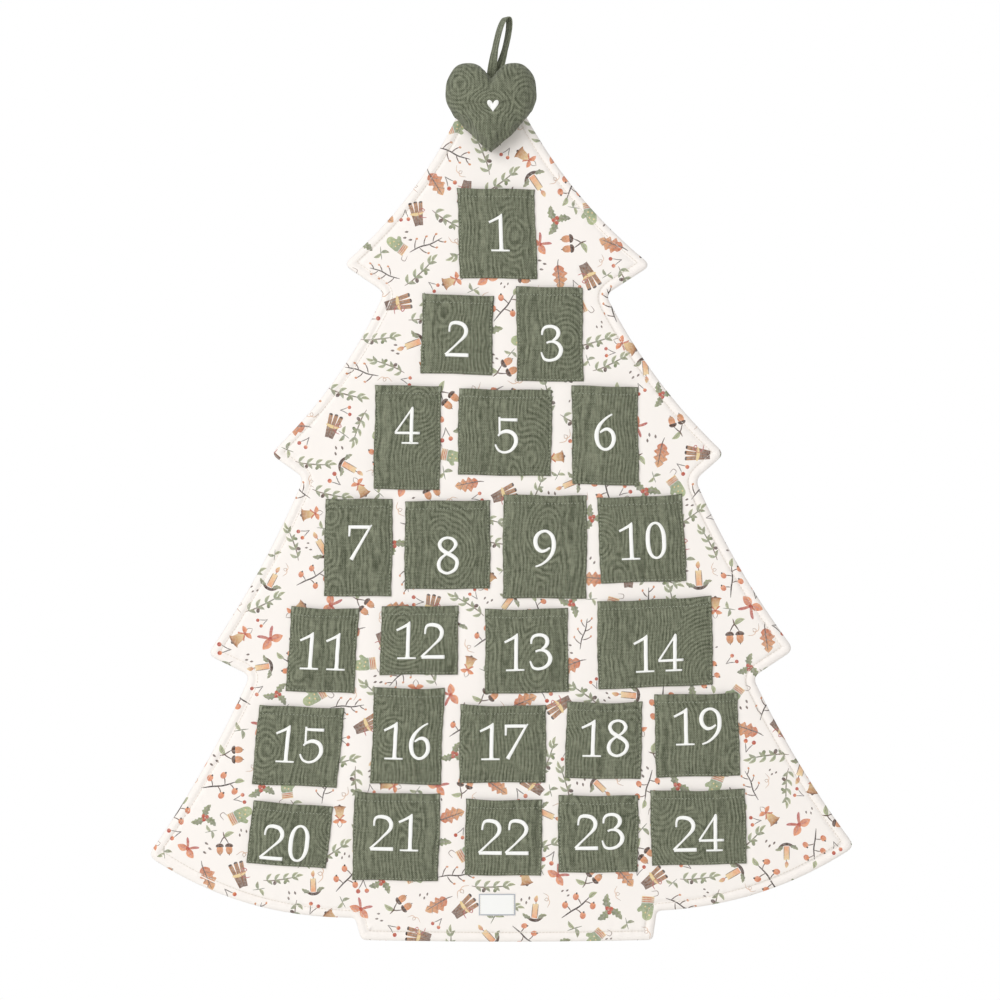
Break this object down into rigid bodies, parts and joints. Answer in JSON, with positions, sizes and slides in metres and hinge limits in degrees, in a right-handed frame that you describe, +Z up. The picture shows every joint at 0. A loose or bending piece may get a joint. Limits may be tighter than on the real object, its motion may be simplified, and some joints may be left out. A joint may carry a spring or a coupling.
{
  "type": "fabric wall calendar",
  "caption": "Padded cloth tree with numbered patch pockets, a stuffed heart at its top and a tape loop to hang it by.",
  "frame": {"origin": "the inside of the hanging loop's top, where a hook carries the weight", "axes": "+Z up the tree, +X to the right seen from the front, the front with the pockets faces -Y"},
  "size_m": [0.7026, 0.0449, 0.9273],
  "materials": {
    "printed_cotton": "matt plain-weave cotton with a small scattered print",
    "plain_cotton": "matt plain-weave cotton",
    "sage_canvas": "matt slubbed cotton canvas",
    "wadding": "soft polyester wadding",
    "white_thread": "satin embroidery thread",
    "cream_thread": "spun sewing thread",
    "label_tape": "smooth woven label tape"
  },
  "bodies": {
    "loop": {"hanging_loop": "sage_canvas"},
    "tree": {"front_cover": "printed_cotton", "wadding": "wadding", "back_cover": "plain_cotton", "front_topstitch": "cream_thread", "back_topstitch": "cream_thread", "blank_label": "label_tape", "pocket_01": "sage_canvas", "pocket_02": "sage_canvas", "pocket_03": "sage_canvas", "pocket_04": "sage_canvas", "pocket_05": "sage_canvas", "pocket_06": "sage_canvas", "pocket_07": "sage_canvas", "pocket_08": "sage_canvas", "pocket_09": "sage_canvas", "pocket_10": "sage_canvas", "pocket_11": "sage_canvas", "pocket_12": "sage_canvas", "pocket_13": "sage_canvas", "pocket_14": "sage_canvas", "pocket_15": "sage_canvas", "pocket_16": "sage_canvas", "pocket_17": "sage_canvas", "pocket_18": "sage_canvas", "pocket_19": "sage_canvas", "pocket_20": "sage_canvas", "pocket_21": "sage_canvas", "pocket_22": "sage_canvas", "pocket_23": "sage_canvas", "pocket_24": "sage_canvas"},
    "heart": {"heart_front": "sage_canvas", "heart_filling": "wadding", "heart_back": "sage_canvas", "heart_emblem": "white_thread"}
  },
  "joints": [
    {"name": "loop_fold", "type": "hinge", "parent": "loop", "child": "tree", "pos_m": [-0.0185, 0, -0.0665], "axis": [1, 0, 0], "range_deg": [-10, 90]},
    {"name": "heart_lift", "type": "hinge", "parent": "tree", "child": "heart", "pos_m": [-0.0157, -0.00375, -0.0645], "axis": [-1, 0, 0], "range_deg": [0, 15]}
  ]
}
